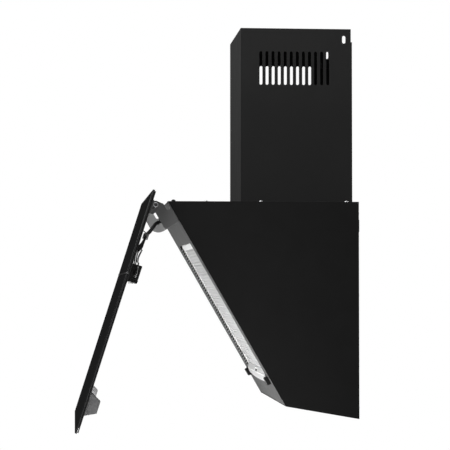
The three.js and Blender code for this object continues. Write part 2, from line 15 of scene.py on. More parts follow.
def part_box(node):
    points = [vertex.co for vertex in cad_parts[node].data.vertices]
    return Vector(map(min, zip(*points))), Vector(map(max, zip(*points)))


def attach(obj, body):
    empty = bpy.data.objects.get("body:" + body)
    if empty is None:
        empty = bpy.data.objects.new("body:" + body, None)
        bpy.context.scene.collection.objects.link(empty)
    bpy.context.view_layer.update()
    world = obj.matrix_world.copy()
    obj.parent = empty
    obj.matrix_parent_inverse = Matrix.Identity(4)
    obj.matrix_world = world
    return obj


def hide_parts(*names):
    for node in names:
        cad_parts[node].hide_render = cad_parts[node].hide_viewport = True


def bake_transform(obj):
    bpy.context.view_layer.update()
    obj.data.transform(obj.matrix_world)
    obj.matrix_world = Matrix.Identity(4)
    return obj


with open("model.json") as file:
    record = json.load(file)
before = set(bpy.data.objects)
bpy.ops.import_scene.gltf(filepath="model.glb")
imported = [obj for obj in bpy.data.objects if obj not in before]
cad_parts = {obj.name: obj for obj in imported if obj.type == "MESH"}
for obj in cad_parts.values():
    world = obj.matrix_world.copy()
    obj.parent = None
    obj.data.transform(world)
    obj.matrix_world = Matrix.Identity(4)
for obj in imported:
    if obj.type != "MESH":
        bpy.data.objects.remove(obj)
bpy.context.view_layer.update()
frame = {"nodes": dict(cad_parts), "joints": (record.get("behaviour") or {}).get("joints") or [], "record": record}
MM = 0.001
JOINTS = {joint["name"]: joint for joint in frame["joints"]}
RECORD = frame["record"]
SLOT_OF = {part["node"]: part["material_slot"] for part in RECORD["subparts"]}
BODY_OF = {node: body for body, nodes in RECORD["behaviour"]["bodies"].items() for node in nodes}


# ------------------------------------------------------------------ axes of the front face and the panel

FACE_TILT = math.radians(29.9)  # the front face leans back this much from upright
OPEN_ANGLE = -math.radians(JOINTS["panel_hinge"]["range_deg"][0])
HINGE = Vector(JOINTS["panel_hinge"]["pos_m"])
HINGE_OUT, HINGE_UP = 25 * MM, 6 * MM  # the hinge axis, out of the face and above its upper edge
HINGE_TO_EDGE = Matrix.Translation((0, HINGE_OUT, -HINGE_UP))

# Face axes: origin on the hood's upper front edge, -Y out of the face, -Z down it.
FACE = Matrix.Translation(HINGE) @ Matrix.Rotation(FACE_TILT, 4, "X") @ HINGE_TO_EDGE
# Panel axes: origin on the hinge axis, +Y to the body, +Z up the panel.
PANEL = Matrix.Translation(HINGE) @ Matrix.Rotation(FACE_TILT - OPEN_ANGLE, 4, "X")
BODY_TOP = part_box("side_panel_right")[1].z
SIDES = (("right", 1), ("left", -1))


def mm(x, y, z):
    """A place or a step given in millimetres."""
    return Vector((x * MM, y * MM, z * MM))


def box_in(node, axes):
    """Lowest and highest corner of a CAD node in the given axes."""
    inverse = axes.inverted()
    places = [inverse @ v.co for v in frame["nodes"][node].data.vertices]
    return Vector(map(min, zip(*places))), Vector(map(max, zip(*places)))


def foot_of(node):
    """A matrix at the middle of a CAD node's lowest level, upright."""
    low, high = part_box(node)
    return Matrix.Translation(((low.x + high.x) / 2, (low.y + high.y) / 2, low.z))


def seat(point, outward, turn=0.0):
    """A matrix at point whose +Z is outward, turned about it by this many degrees."""
    spin = Matrix.Rotation(math.radians(turn), 4, "Z")
    return Matrix.Translation(point) @ Vector(outward).to_track_quat("Z", "Y").to_matrix().to_4x4() @ spin


# ------------------------------------------------------------------ camera, lights and floor

def add_camera():
    """A long lens, nearly square on the hood's right-hand side and a little below its middle."""
    data = bpy.data.cameras.new("camera")
    data.sensor_width = 36
    data.lens = 141.74
    data.clip_start = 0.05
    camera = bpy.data.objects.new("camera", data)
    bpy.context.scene.collection.objects.link(camera)
    camera.location = (3.7392, -0.5701, -0.121)
    aim = Vector((0.235, -0.2728, 0.0002))
    camera.rotation_mode = "QUATERNION"
    camera.rotation_quaternion = (aim - camera.location).to_track_quat("-Z", "Y")
    bpy.context.scene.camera = camera


def add_softbox(name, place, aim, size, watts, spread=180):
    """A rectangular lamp that faces aim. A spread under 180 degrees narrows its beam."""
    data = bpy.data.lights.new(name, "AREA")
    data.shape = "RECTANGLE"
    data.size, data.size_y = size
    data.energy = watts
    data.spread = math.radians(spread)
    light = bpy.data.objects.new(name, data)
    light.location = place
    light.rotation_mode = "QUATERNION"
    light.rotation_quaternion = (Vector(aim) - Vector(place)).to_track_quat("-Z", "Y")
    bpy.context.scene.collection.objects.link(light)


def add_lights():
    add_softbox("key", (0.5, -2.4, 1.5), (0, -0.3, 0.1), (1.6, 1.6), 55)
    add_softbox("top", (0.2, -0.2, 2.4), (0, -0.2, 0), (1.8, 1.4), 20)
    add_softbox("low_front", (0.2, -2.0, -1.5), (0, -0.3, -0.1), (1.4, 1.0), 8)
    add_softbox("side", (2.5, -1.9, 0.9), (0, -0.3, 0), (1.2, 1.2), 26)
    # A narrow beam from below into the gap between the open panel and the hood's face.
    add_softbox("wedge", (0.5, -0.62, -1.15), (0, -0.33, -0.13), (0.6, 0.6), 3.2, 60)
    add_softbox("rear", (-1.4, 1.6, 1.0), (0, 0, 0), (1.4, 1.4), 30)


def add_world():
    """A soft studio sky, dim towards both sides of the hood, with a white backdrop behind everything."""
    front_glow, side_glow = 0.55, 0.016
    fade_start, fade_end = 0.5, 0.93  # how far sideways a direction points, from 0 to 1
    world = bpy.data.worlds.new("studio")
    bpy.context.scene.world = world
    world.use_nodes = True
    tree = world.node_tree
    tree.nodes.clear()
    link = tree.links.new
    coordinate = tree.nodes.new("ShaderNodeTexCoord")
    split = tree.nodes.new("ShaderNodeSeparateXYZ")
    link(coordinate.outputs["Generated"], split.inputs[0])
    sideways = maths(tree, "ABSOLUTE", split.outputs["X"])
    sky = tree.nodes.new("ShaderNodeBackground")
    strength = ranged(tree, sideways, front_glow, side_glow, fade_start, fade_end, "SMOOTHSTEP")
    link(strength, sky.inputs["Strength"])
    backdrop = tree.nodes.new("ShaderNodeBackground")
    backdrop.inputs["Color"].default_value = (1, 1, 1, 1)
    path = tree.nodes.new("ShaderNodeLightPath")
    mix = tree.nodes.new("ShaderNodeMixShader")
    link(path.outputs["Is Camera Ray"], mix.inputs[0])
    link(sky.outputs[0], mix.inputs[1])
    link(backdrop.outputs[0], mix.inputs[2])
    out = tree.nodes.new("ShaderNodeOutputWorld")
    link(mix.outputs[0], out.inputs["Surface"])


def add_floor():
    """The kitchen floor, as far below the hood as it is in use."""
    half, level = 9.0, -1.95
    corners = [(-half, -half, level), (half, -half, level), (half, half, level), (-half, half, level)]
    mesh = bpy.data.meshes.new("floor")
    mesh.from_pydata(corners, [], [(0, 1, 2, 3)])
    mesh.materials.append(surface("floor_paint", (0.4, 0.4, 0.395), 0.7)[0])
    linked("floor", mesh)


# ------------------------------------------------------------------ shader parts

def surface(name, colour, roughness, metallic=0.0, specular=0.5):
    """A plain material, with its shader and its node tree."""
    material = bpy.data.materials.new(name)
    material.use_nodes = True
    tree = material.node_tree
    bsdf = tree.nodes["Principled BSDF"]
    bsdf.inputs["Base Color"].default_value = (*colour, 1)
    bsdf.inputs["Roughness"].default_value = roughness
    bsdf.inputs["Metallic"].default_value = metallic
    bsdf.inputs["Specular IOR Level"].default_value = specular
    return material, bsdf, tree


def place_node(tree, scale=(1, 1, 1)):
    """The point's place in metres, from the object's own axes, stretched by scale."""
    coordinate = tree.nodes.new("ShaderNodeTexCoord")
    mapping = tree.nodes.new("ShaderNodeMapping")
    mapping.inputs["Scale"].default_value = scale
    tree.links.new(coordinate.outputs["Object"], mapping.inputs["Vector"])
    return mapping.outputs["Vector"]


def noise(tree, size, detail=2.0, stretch=(1, 1, 1)):
    """Noise whose blotches are about this size in metres."""
    node = tree.nodes.new("ShaderNodeTexNoise")
    node.inputs["Scale"].default_value = 1 / size
    node.inputs["Detail"].default_value = detail
    tree.links.new(place_node(tree, stretch), node.inputs["Vector"])
    return node.outputs["Fac"]


def ranged(tree, value, low, high, from_low=0.3, from_high=0.7, curve="LINEAR"):
    """The value, moved from one range to another."""
    node = tree.nodes.new("ShaderNodeMapRange")
    node.interpolation_type = curve
    ends = {"From Min": from_low, "From Max": from_high, "To Min": low, "To Max": high}
    for label, number in ends.items():
        node.inputs[label].default_value = number
    tree.links.new(value, node.inputs["Value"])
    return node.outputs["Result"]


def maths(tree, operation, *values):
    """The result of a sum on sockets and plain numbers."""
    node = tree.nodes.new("ShaderNodeMath")
    node.operation = operation
    for entry, value in zip(node.inputs, values):
        if isinstance(value, bpy.types.NodeSocket):
            tree.links.new(value, entry)
        else:
            entry.default_value = value
    return node.outputs[0]


def tinted(tree, factor, first, second):
    """A colour between two, by factor."""
    node = tree.nodes.new("ShaderNodeMix")
    node.data_type = "RGBA"
    node.inputs["A"].default_value = (*first, 1)
    node.inputs["B"].default_value = (*second, 1)
    tree.links.new(factor, node.inputs["Factor"])
    return node.outputs["Result"]


def bumped(tree, bsdf, height, depth):
    """Raises the surface by height, from 0 to depth metres."""
    node = tree.nodes.new("ShaderNodeBump")
    node.inputs["Strength"].default_value = 1.0
    node.inputs["Distance"].default_value = depth
    tree.links.new(height, node.inputs["Height"])
    tree.links.new(node.outputs["Normal"], bsdf.inputs["Normal"])


def facing(tree):
    """The X and Y of the surface's normal, and its X times the X of its place, which is positive on
    faces that look away from the hood's middle plane."""
    geometry = tree.nodes.new("ShaderNodeNewGeometry")
    normal = tree.nodes.new("ShaderNodeSeparateXYZ")
    place = tree.nodes.new("ShaderNodeSeparateXYZ")
    tree.links.new(geometry.outputs["Normal"], normal.inputs[0])
    tree.links.new(geometry.outputs["Position"], place.inputs[0])
    return normal.outputs["Y"], maths(tree, "MULTIPLY", normal.outputs["X"], place.outputs["X"])


def shade(colour, factor):
    return tuple(channel * factor for channel in colour)


def grey(tone):
    return (tone, tone, tone)


# ------------------------------------------------------------------ materials

def powder_coat(name, colour, roughness, specular=0.4):
    """Satin powder coat: fine orange peel, with faint large patches in its tone and gloss."""
    material, bsdf, tree = surface(name, colour, roughness, 0.0, specular)
    link = tree.links.new
    patches = noise(tree, 120 * MM, 3)
    link(tinted(tree, patches, shade(colour, 0.9), shade(colour, 1.12)), bsdf.inputs["Base Color"])
    gloss = noise(tree, 30 * MM, 4)
    link(ranged(tree, gloss, roughness - 0.04, roughness + 0.05), bsdf.inputs["Roughness"])
    bumped(tree, bsdf, noise(tree, 0.9 * MM, 2), 0.012 * MM)
    return material


def zinc_sheet(name, colour, roughness=0.42, metallic=0.75):
    """Zinc plated sheet: soft spangle, rolling streaks and slight stains."""
    material, bsdf, tree = surface(name, colour, roughness, metallic)
    link = tree.links.new
    spangle = tree.nodes.new("ShaderNodeTexVoronoi")
    spangle.inputs["Scale"].default_value = 1 / (6 * MM)
    link(place_node(tree), spangle.inputs["Vector"])
    tone = tree.nodes.new("ShaderNodeSeparateColor")
    link(spangle.outputs["Color"], tone.inputs[0])
    link(tinted(tree, tone.outputs[0], shade(colour, 0.86), shade(colour, 1.1)), bsdf.inputs["Base Color"])
    stains = noise(tree, 20 * MM, 5)
    link(ranged(tree, stains, roughness - 0.07, roughness + 0.1), bsdf.inputs["Roughness"])
    bumped(tree, bsdf, noise(tree, 0.5 * MM, 3, (1, 1, 0.08)), 0.01 * MM)
    return material


def brushed(name, colour, roughness, metallic, stretch, grain=0.35 * MM):
    """Brushed or drawn metal, with streaks along the axis that stretch shortens."""
    material, bsdf, tree = surface(name, colour, roughness, metallic)
    link = tree.links.new
    streaks = noise(tree, grain, 4, stretch)
    link(tinted(tree, streaks, shade(colour, 0.9), shade(colour, 1.08)), bsdf.inputs["Base Color"])
    link(ranged(tree, streaks, roughness - 0.06, roughness + 0.08), bsdf.inputs["Roughness"])
    bumped(tree, bsdf, streaks, 0.01 * MM)
    return material


def moulded(name, colour, roughness, grain=0.25 * MM, depth=0.02 * MM, specular=0.35):
    """Moulded plastic with a fine spark-eroded texture."""
    material, bsdf, tree = surface(name, colour, roughness, 0.0, specular)
    link = tree.links.new
    patches = noise(tree, 40 * MM, 3)
    link(tinted(tree, patches, shade(colour, 0.88), shade(colour, 1.15)), bsdf.inputs["Base Color"])
    gloss = noise(tree, 6 * MM, 3)
    link(ranged(tree, gloss, roughness - 0.05, roughness + 0.07), bsdf.inputs["Roughness"])
    bumped(tree, bsdf, noise(tree, grain, 2), depth)
    return material


def black_glass(name):
    """Back-painted toughened glass: a mirror-smooth face over black, with a faint roller wave."""
    dark, light = (0.004, 0.004, 0.0045), (0.006, 0.006, 0.0065)
    material, bsdf, tree = surface(name, (0.005, 0.005, 0.0055), 0.06, 0.0, 0.3)
    link = tree.links.new
    link(tinted(tree, noise(tree, 200 * MM, 2), dark, light), bsdf.inputs["Base Color"])
    link(ranged(tree, noise(tree, 50 * MM, 4), 0.045, 0.1), bsdf.inputs["Roughness"])
    bumped(tree, bsdf, noise(tree, 90 * MM, 1), 0.01 * MM)
    return material


def chimney_shaded_inside_coat(name, outside, inward_painted_tone):
    """Satin coat on the outside of the chimney, and painted shade on its inside: a far darker tone with little
    shine on the faces that look into it.
    """
    material = powder_coat(name, outside, 0.72, 0.1)
    tree = material.node_tree
    bsdf = tree.nodes["Principled BSDF"]
    link = tree.links.new
    half_width = 125 * MM
    normal_y, away = facing(tree)
    forward = maths(tree, "MULTIPLY", normal_y, -1.0)
    outward = maths(tree, "MULTIPLY_ADD", away, 1 / half_width, forward)  # 1 outside, -1 inside
    # painted shade: inner is 1 on faces that look into the chimney, which take the dark inward tone and lose their
    # shine
    inner = ranged(tree, outward, 1, 0, -0.6, 0.0)
    patches = bsdf.inputs["Base Color"].links[0].from_socket
    mix = tree.nodes.new("ShaderNodeMix")
    mix.data_type = "RGBA"
    mix.inputs["B"].default_value = (*inward_painted_tone, 1)
    link(inner, mix.inputs["Factor"])
    link(patches, mix.inputs["A"])
    link(mix.outputs["Result"], bsdf.inputs["Base Color"])
    link(ranged(tree, inner, 0.15, 0.02, 0, 1), bsdf.inputs["Specular IOR Level"])
    return material


def bracket_sheet_lit_and_shaded(name, outside, inward_painted_tone):
    """Coated bracket sheet in two tones of painted light and shade: painted darker on the faces that look away
    from the hood's middle plane, lighter on those that look towards it.
    """
    material, bsdf, tree = surface(name, outside, 0.45, 0.35)
    link = tree.links.new
    away = facing(tree)[1]
    # painted light and shade: inward faces take the lighter tone, outward faces the darker one
    inner = ranged(tree, away, 1, 0, -0.1, 0.1)
    link(tinted(tree, inner, outside, inward_painted_tone), bsdf.inputs["Base Color"])
    link(ranged(tree, noise(tree, 10 * MM, 4), 0.4, 0.52), bsdf.inputs["Roughness"])
    bumped(tree, bsdf, noise(tree, 0.7 * MM, 2), 0.01 * MM)
    return material


ALONG_X = (0.06, 1, 1)  # stretches a texture into streaks along X
WIRE_TONES = {"wire_a": 0.28, "wire_b": 0.24, "wire_c": 0.1}

MATERIALS = {
    "body_black": powder_coat("body_paint", grey(0.0097), 0.55, 0.1),
    # The chimney's inside is painted with shade, far darker than its coat.
    "chimney_black": chimney_shaded_inside_coat("chimney_shaded_inside_paint", grey(0.022), grey(0.0015)),
    "liner_grey": powder_coat("liner_paint", grey(0.125), 0.55, 0.2),
    # Painted shade for the filter pocket's walls.
    "pocket_shade_paint": powder_coat("pocket_shade_paint", grey(0.012), 0.6, 0.1),
    "pocket_rib": powder_coat("pocket_rib", grey(0.26), 0.5, 0.2),
    "panel_backing": powder_coat("panel_back_paint", grey(0.022), 0.5, 0.3),
    "panel_glass": black_glass("black_glass"),
    "glass_edge": moulded("ground_glass_edge", (0.02, 0.02, 0.0205), 0.4),
    # Hinge brackets: painted shade on their outward faces, painted light on their inward faces.
    "bracket_dark": bracket_sheet_lit_and_shaded("bracket_sheet_lit_and_shaded", grey(0.145), grey(0.36)),
    "zinc_steel": zinc_sheet("zinc_sheet", (0.33, 0.33, 0.335)),
    # Lit and shaded copies of one zinc sheet: the right-hand hat bracket is painted darker as shade, the left-hand
    # one lighter as light.
    "hat_steel_right": zinc_sheet("hat_steel_right", (0.17, 0.17, 0.172), 0.5, 0.4),
    "hat_steel_left": zinc_sheet("hat_steel_left", (0.45, 0.45, 0.455), 0.5, 0.4),
    "cap_metal": zinc_sheet("cap_metal", (0.09, 0.09, 0.091), 0.45, 0.4),
    "bright_steel": brushed("bright_steel", (0.78, 0.78, 0.79), 0.3, 0.75, (1, 1, 1)),
    "filter_aluminium": brushed("filter_aluminium", grey(0.94), 0.5, 0.0, ALONG_X),
    "mesh_aluminium": brushed("mesh_aluminium", grey(0.5), 0.45, 0.15, (1, 1, 1), 1.2 * MM),
    "lip_aluminium": brushed("lip_aluminium", grey(0.72), 0.45, 0.1, ALONG_X),
    "trim_aluminium": brushed("trim_aluminium", (0.55, 0.55, 0.56), 0.32, 0.7, (0.05, 1, 1)),
    # Painted reflection: the trim strip's near-black tone stands for the dark surroundings its bright metal
    # mirrors.
    "trim_painted_reflection": brushed("trim_painted_reflection", grey(0.03), 0.3, 0.5, (0.05, 1, 1)),
    "black_plastic": moulded("black_plastic", grey(0.013), 0.5, specular=0.15),
    "grey_plastic": moulded("grey_plastic", grey(0.14), 0.5),
    "pale_plastic": moulded("pale_plastic", (0.72, 0.72, 0.71), 0.4, specular=0.4),
    "blower_plastic": moulded("blower_plastic", (0.03, 0.032, 0.035), 0.55),
    # Painted shade for the filter frame's crimp holes.
    "hole_shade_paint": moulded("hole_shade_paint", grey(0.2), 0.6),
    "cable_jacket": moulded("cable_jacket", (0.005, 0.005, 0.0052), 0.42, 0.6 * MM, 0.015 * MM),
    "woven_sleeve": moulded("woven_sleeve", grey(0.012), 0.7, 0.4 * MM, 0.08 * MM),
}
for tag, tone in WIRE_TONES.items():
    MATERIALS[tag] = moulded(tag, grey(tone), 0.38, 0.5 * MM, 0.01 * MM)


def paint_cad_nodes():
    """Gives every CAD node its finish, for those that no piece stands for."""
    for node, obj in frame["nodes"].items():
        obj.data.materials.clear()
        obj.data.materials.append(MATERIALS[SLOT_OF[node]])


# ------------------------------------------------------------------ making pieces

SHARP = math.radians(35)  # edges sharper than this stay sharp


def smoothed(mesh):
    """Shades a mesh smooth, except over its sharp edges."""
    for polygon in mesh.polygons:
        polygon.use_smooth = True
    mesh.set_sharp_from_angle(angle=SHARP)


def linked(name, mesh):
    obj = bpy.data.objects.new(name, mesh)
    bpy.context.scene.collection.objects.link(obj)
    return obj


def mesh_of(name, bm):
    mesh = bpy.data.meshes.new(name)
    bm.to_mesh(mesh)
    bm.free()
    return mesh


def from_bmesh(name, bm, matrix=Matrix.Identity(4)):
    bmesh.ops.recalc_face_normals(bm, faces=bm.faces)
    mesh = mesh_of(name, bm)
    mesh.transform(matrix)
    smoothed(mesh)
    return linked(name, mesh)


def applied(obj):
    """Turns the object's modifiers into its mesh."""
    graph = bpy.context.evaluated_depsgraph_get()
    mesh = bpy.data.meshes.new_from_object(obj.evaluated_get(graph))
    mesh.name = obj.name
    obj.modifiers.clear()
    obj.data = mesh
    return obj


def bevelled(obj, width, segments=2, angle=40):
    edge = obj.modifiers.new("edge", "BEVEL")
    edge.width = width
    edge.segments = segments
    edge.limit_method = "ANGLE"
    edge.angle_limit = math.radians(angle)
    edge.harden_normals = True
    edge.use_clamp_overlap = True
    return applied(obj)


def finish_piece(obj, body, slot, material=None, stands_for=()):
    """Paints a piece and says which body it rides on and which CAD nodes it stands for."""
    obj.data.materials.clear()
    obj.data.materials.append(MATERIALS[material or slot])
    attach(obj, body)
    if stands_for:
        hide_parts(*stands_for)


def stand_in(obj, node, material=None):
    """Lets a piece stand for a CAD node, on the node's own body."""
    finish_piece(obj, BODY_OF[node], SLOT_OF[node], material, (node,))


def rounded(node, width, segments=2, angle=40, material=None):
    """Stands for a CAD node: the same sheet or block with its edges rounded."""
    bm = bmesh.new()
    bm.from_mesh(frame["nodes"][node].data)
    bmesh.ops.remove_doubles(bm, verts=bm.verts, dist=0.002 * MM)
    bmesh.ops.dissolve_limit(bm, angle_limit=math.radians(1), verts=bm.verts, edges=bm.edges)
    stand_in(bevelled(from_bmesh(f"{node}_finished", bm), width, segments, angle), node, material)


def turned(profile, segments=40):
    """A closed solid about Z from a list of (radius, height) in mm. Points at radius 0 close it."""
    bm = bmesh.new()
    turns = [2 * math.pi * i / segments for i in range(segments)]
    rings = []
    for radius, height in profile:
        size, level = radius * MM, height * MM
        if radius == 0:
            rings.append([bm.verts.new((0, 0, level))])
        else:
            rings.append([bm.verts.new((size * math.cos(a), size * math.sin(a), level)) for a in turns])
    closed = len(rings[0]) > 1
    pairs = zip(rings, rings[1:] + rings[:1]) if closed else zip(rings, rings[1:])
    for low, high in pairs:
        for i in range(segments):
            j = (i + 1) % segments
            corners = [low[i % len(low)], low[j % len(low)], high[j % len(high)], high[i % len(high)]]
            distinct = list(dict.fromkeys(corners))
            if len(distinct) > 2:
                bm.faces.new(distinct)
    return bm


def bar(radius, low, high, segments):
    """A plain round bar about Z, in mm."""
    return turned([(0, low), (radius, low), (radius, high), (0, high)], segments)


def box_mesh(bm, low, high):
    """Adds a box to a bmesh and returns its corners."""
    places = [(x, y, z) for x in (low[0], high[0]) for y in (low[1], high[1]) for z in (low[2], high[2])]
    verts = [bm.verts.new(place) for place in places]
    for face in ((0, 1, 3, 2), (4, 6, 7, 5), (0, 4, 5, 1), (2, 3, 7, 6), (0, 2, 6, 4), (1, 5, 7, 3)):
        bm.faces.new([verts[i] for i in face])
    return verts


def side_boxes(low, high):
    """A box on each side of the hood's middle plane, given by the corners of the right-hand one."""
    bm = bmesh.new()
    for side in (-1, 1):
        x0, x1 = sorted((side * low.x, side * high.x))
        box_mesh(bm, (x0, low.y, low.z), (x1, high.y, high.z))
    return bm


def loft(bm, rows):
    """Skins a row of closed sections and caps both ends."""
    for first, second in zip(rows, rows[1:]):
        for k in range(len(first)):
            n = (k + 1) % len(first)
            bm.faces.new((first[k], first[n], second[n], second[k]))
    bm.faces.new(rows[0][::-1])
    bm.faces.new(rows[-1])


def smooth_path(points, per_span=10):
    """Centripetal Catmull-Rom points through the given ones, as the part's own leads use."""
    p = [Vector(q) for q in points]
    p = [p[0] * 2 - p[1], *p, p[-1] * 2 - p[-2]]
    path = []
    for a, b, c, d in zip(p, p[1:], p[2:], p[3:]):
        t0 = 0.0
        t1 = t0 + (b - a).length ** 0.5
        t2 = t1 + (c - b).length ** 0.5
        t3 = t2 + (d - c).length ** 0.5
        for i in range(per_span):
            t = t1 + (t2 - t1) * i / per_span
            a1 = a * ((t1 - t) / (t1 - t0)) + b * ((t - t0) / (t1 - t0))
            a2 = b * ((t2 - t) / (t2 - t1)) + c * ((t - t1) / (t2 - t1))
            a3 = c * ((t3 - t) / (t3 - t2)) + d * ((t - t2) / (t3 - t2))
            b1 = a1 * ((t2 - t) / (t2 - t0)) + a2 * ((t - t0) / (t2 - t0))
            b2 = a2 * ((t3 - t) / (t3 - t1)) + a3 * ((t - t1) / (t3 - t1))
            path.append(b1 * ((t2 - t) / (t2 - t1)) + b2 * ((t - t1) / (t2 - t1)))
    path.append(p[-2])
    return path


def heading(path, k):
    """The direction in which a path runs at its point k."""
    return (path[min(k + 1, len(path) - 1)] - path[max(k - 1, 0)]).normalized()


def tube(name, path, radius, sides=20):
    """A closed round tube along a path. radius is a number, or a function of the share of the path."""
    size = radius if callable(radius) else (lambda share: radius)
    turns = [2 * math.pi * k / sides for k in range(sides)]
    bm = bmesh.new()
    up = (path[1] - path[0]).orthogonal().normalized()
    rings = []
    for i, point in enumerate(path):
        ahead = heading(path, i)
        up = (up - ahead * up.dot(ahead)).normalized()
        across = ahead.cross(up)
        r = size(i / (len(path) - 1))
        rings.append([bm.verts.new(point + up * r * math.cos(a) + across * r * math.sin(a)) for a in turns])
    loft(bm, rings)
    return from_bmesh(name, bm)


# ------------------------------------------------------------------ screws

def screw_mesh(name, radius, height):
    """A pan head on its seat plane, with a cross recess. Sizes in mm."""
    below, rim, steps = 0.4, 0.2, 7
    angles = [math.pi / 2 * i / steps for i in range(steps)]
    dome = [(radius * math.cos(a), height * (0.35 + 0.65 * math.sin(a))) for a in angles]
    profile = [(0, -below), (radius, -below), (radius, height * rim), *dome, (0, height)]
    head = from_bmesh(name, turned(profile, 32))
    arm, width = radius * 0.55, radius * 0.15
    bm = bmesh.new()
    box_mesh(bm, mm(-arm, -width, height * 0.45), mm(arm, width, height * 2))
    blade = from_bmesh(name + "_slot", bm)
    for turn in (0, 90):
        cut = head.modifiers.new("recess", "BOOLEAN")
        cut.solver = "EXACT"
        blade.rotation_euler = (0, 0, math.radians(turn))
        cut.object = blade
        bpy.context.view_layer.update()
        applied(head)
    bpy.data.objects.remove(blade)
    mesh = head.data
    bpy.data.objects.remove(head)
    smoothed(mesh)
    return mesh


def add_screws(name, mesh, places, body, slot="bright_steel", material=None):
    """One piece that holds every screw of a kind: places are matrices whose +Z points out of the seat."""
    bm = bmesh.new()
    for place in places:
        copy = mesh.copy()
        copy.transform(place)
        bm.from_mesh(copy)
        bpy.data.meshes.remove(copy)
    joined = mesh_of(name, bm)
    smoothed(joined)
    finish_piece(linked(name, joined), body, slot, material)


# ------------------------------------------------------------------ casing and chimney

def make_casing():
    """The sheet parts of the hood, with their edges rounded."""
    for label, _ in SIDES:
        rounded(f"side_panel_{label}", 0.5 * MM, 3)
        rounded(f"lamp_housing_{label}", 0.4 * MM)
    for node in ("top_plate", "bottom_panel", "back_plate", "front_frame"):
        rounded(node, 0.4 * MM)
    rounded("wall_strip", 0.6 * MM)
    rounded("chimney_bracket", 0.35 * MM)
    rounded("chimney_cover", 0.35 * MM, 2, 60)


def make_casing_screws(pan):
    """Pan head screws along the top plate's two sides and round the back plate."""
    side_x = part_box("side_panel_right")[1].x - 9 * MM
    chimney_low, chimney_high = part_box("chimney_cover")
    rows = (chimney_low.y + 31 * MM, chimney_high.y - 28 * MM, -310 * MM)
    places = [seat((side * side_x, y, BODY_TOP), (0, 0, 1), 20 + 60 * side)
              for _, side in SIDES for y in rows]
    add_screws("top_plate_screws", pan, places, "hood")

    low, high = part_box("back_plate")
    foot_row, head_row = low.z + 20 * MM, 25 * MM
    edge_x, middle_x = 222 * MM, 75 * MM
    edge_rows = (foot_row, -270 * MM, -140 * MM, head_row)
    places = [seat((side * edge_x, high.y, z), (0, 1, 0), 35 * side)
              for _, side in SIDES for z in edge_rows]
    places += [seat((side * middle_x, high.y, z), (0, 1, 0), 15)
               for _, side in SIDES for z in (foot_row, head_row)]
    add_screws("back_plate_screws", pan, places, "hood")


def make_top_bumpers():
    """Rubber domes on the top plate."""
    radius, foot, rise, steps = 4.3, 0.5, 3.1, 8
    angles = [math.pi / 2 * i / steps for i in range(1, steps)]
    dome = [(radius * math.cos(a), foot + rise * math.sin(a)) for a in angles]
    profile = [(0, 0), (radius, 0), (radius, foot), *dome, (0, foot + rise)]
    for label, _ in SIDES:
        node = f"top_bumper_{label}"
        stand_in(from_bmesh(f"{node}_dome", turned(profile, 32), foot_of(node)), node)


def make_wall_bolts():
    """Hexagon bolts with washers that hang the body on the wall strip."""
    shank = bar(3, 0, 5, 28)
    washer = bar(6, 4.7, 5.7, 36)
    hexagon = turned([(0, 5.6), (5.6, 5.6), (5.6, 8.6), (4.9, 9), (0, 9)], 6)
    parts = [mesh_of("bolt_part", bm) for bm in (shank, washer, hexagon)]
    for label, _ in SIDES:
        node = f"hanger_bolt_{label}"
        low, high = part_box(node)
        place = seat(((low.x + high.x) / 2, high.y + 0.6 * MM, (low.z + high.z) / 2), (0, -1, 0))
        bm = bmesh.new()
        for part in parts:
            bm.from_mesh(part)
        stand_in(bevelled(from_bmesh(f"{node}_hex", bm, place), 0.2 * MM), node)


def make_lamps():
    """Downlights: a bright bezel and a lens with a ring of fine steps."""
    plate = [v.co for v in frame["nodes"]["bottom_panel"].data.vertices]
    front = min(plate, key=lambda p: p.y)
    rear = max(plate, key=lambda p: p.y)
    up = Vector((1, 0, 0)).cross(Vector((0, rear.y - front.y, rear.z - front.z)).normalized())
    rings, step_pitch, step_width, step_rise, lens_radius = 6, 3, 0.5, 0.25, 21.2
    steps = [(0, 0)]
    for ring in range(1, rings + 1):
        steps += [(ring * step_pitch - step_width, 0), (ring * step_pitch, step_rise)]
    lens = [*steps, (lens_radius, 0.7), (lens_radius, 4), (0, 4)]
    bezel = [(21.6, 0.9), (23.5, 0.1), (26, 0.6), (26.8, 1.6), (22, 1.9)]
    for label, _ in SIDES:
        node = f"lamp_lens_{label}"
        points = [v.co for v in frame["nodes"][node].data.vertices]
        centre = sum(points, Vector()) / len(points)
        place = seat(centre + up * min((p - centre).dot(up) for p in points), up)
        stand_in(from_bmesh(f"{node}_stepped", turned(lens, 48), place), node)
        finish_piece(from_bmesh(f"lamp_bezel_{label}", turned(bezel, 48), place), "hood", "trim_aluminium")


def make_outlet():
    """The duct collar with a rolled bead and a stiffened rim, its cross rod, and the two damper flaps."""
    node = "outlet_collar"
    low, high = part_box(node)
    inner, outer, flange, height = 73.5, 75, 90, (high.z - low.z) / MM
    bead = height * 0.7
    profile = [(inner, 0), (flange, 0), (flange, 1.7), (outer + 1.5, 1.7), (outer, 3.2),
               (outer, bead - 2), (outer + 0.9, bead - 1), (outer + 0.9, bead + 1), (outer, bead + 2),
               (outer, height - 0.4), (outer - 0.4, height), (inner + 0.4, height), (inner, height - 0.4)]
    stand_in(from_bmesh(f"{node}_beaded", turned(profile, 96), foot_of(node)), node)
    y, z = (low.y + high.y) / 2, JOINTS["damper_front_swing"]["pos_m"][2]
    path = [Vector((share * inner * MM, y, z)) for share in (-1, -0.5, 0, 0.5, 1)]
    finish_piece(tube("damper_rod", path, 1.6 * MM, 16), "hood", "bright_steel")
    for label in ("front", "rear"):
        rounded(f"damper_flap_{label}", 0.3 * MM)


